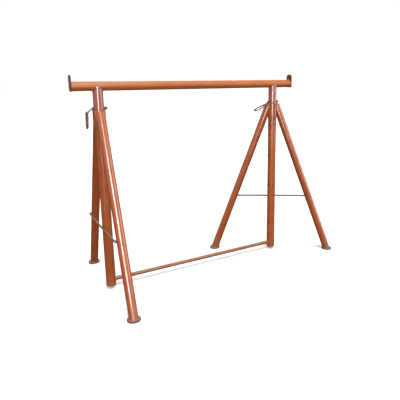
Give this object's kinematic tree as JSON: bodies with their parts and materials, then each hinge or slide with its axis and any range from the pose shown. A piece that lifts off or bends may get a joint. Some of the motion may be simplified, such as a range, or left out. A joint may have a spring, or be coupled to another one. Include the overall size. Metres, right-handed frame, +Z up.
{
  "type": "folding sawhorse",
  "caption": "Height-adjustable tubular steel trestle: a top beam on two uprights that slide in swivelling A-shaped leg sets held by lock pins.",
  "frame": {"origin": "on the floor, under the middle of the footprint box that the trestle takes as it stands", "axes": "+X along the top beam towards the swivelled leg set, +Y towards the back legs of the set that stands square, +Z up"},
  "size_m": [1.4586, 0.7764, 1.0842],
  "materials": {
    "paint": "glossy orange enamel, worn at the edges",
    "foot_paint": "scuffed orange enamel",
    "stay_paint": "worn dark paint over round bar",
    "pin_steel": "dull, lightly rusted bar",
    "washer_steel": "dull plated ring, rubbed"
  },
  "bodies": {
    "frame": {"top_beam": "paint", "end_stop_left": "paint", "end_stop_right": "paint", "upright_left": "paint", "upright_right": "paint", "bottom_rail": "paint"},
    "carriage_left": {"thrust_washer_left": "washer_steel"},
    "legs_left": {"sleeve_left": "paint", "leg_left_back": "paint", "leg_left_front": "paint", "foot_left_back": "foot_paint", "foot_left_front": "foot_paint", "stay_rod_left": "stay_paint"},
    "pin_left": {"lock_pin_left": "pin_steel"},
    "ring_left": {"pull_ring_left": "pin_steel"},
    "carriage_right": {"thrust_washer_right": "washer_steel"},
    "legs_right": {"sleeve_right": "paint", "leg_right_back": "paint", "leg_right_front": "paint", "foot_right_back": "foot_paint", "foot_right_front": "foot_paint", "stay_rod_right": "stay_paint"},
    "pin_right": {"lock_pin_right": "pin_steel"},
    "ring_right": {"pull_ring_right": "pin_steel"}
  },
  "joints": [
    {"name": "height_left", "type": "slide", "parent": "frame", "child": "carriage_left", "axis": [0, 0, -1], "range_m": [0, 0.509]},
    {"name": "swivel_left", "type": "hinge", "parent": "carriage_left", "child": "legs_left", "pos_m": [-0.60597, 0, 0.918], "axis": [0, 0, 1], "range_deg": [-2.4, 63.6]},
    {"name": "pin_pull_left", "type": "slide", "parent": "frame", "child": "pin_left", "axis": [-1, 0, 0], "range_m": [0, 0.085]},
    {"name": "ring_swing_left", "type": "hinge", "parent": "pin_left", "child": "ring_left", "pos_m": [-0.66197, 0, 0.9076], "axis": [0, 1, 0], "range_deg": [-2.86, 73.24]},
    {"name": "height_right", "type": "slide", "parent": "frame", "child": "carriage_right", "axis": [0, 0, -1], "range_m": [0, 0.509]},
    {"name": "swivel_right", "type": "hinge", "parent": "carriage_right", "child": "legs_right", "pos_m": [0.39403, 0, 0.918], "axis": [0, 0, 1], "range_deg": [-58.3, 7.7]},
    {"name": "pin_pull_right", "type": "slide", "parent": "frame", "child": "pin_right", "axis": [-1, 0, 0], "range_m": [0, 0.085]},
    {"name": "ring_swing_right", "type": "hinge", "parent": "pin_right", "child": "ring_right", "pos_m": [0.33803, 0, 0.9076], "axis": [0, 1, 0], "range_deg": [-67.14, 8.96]}
  ],
  "couplings": [
    {"joint": "ring_swing_left", "follows": "swivel_left", "ratio": 1.15},
    {"joint": "ring_swing_right", "follows": "swivel_right", "ratio": 1.15},
    {"joint": "height_right", "follows": "height_left", "ratio": 1}
  ]
}
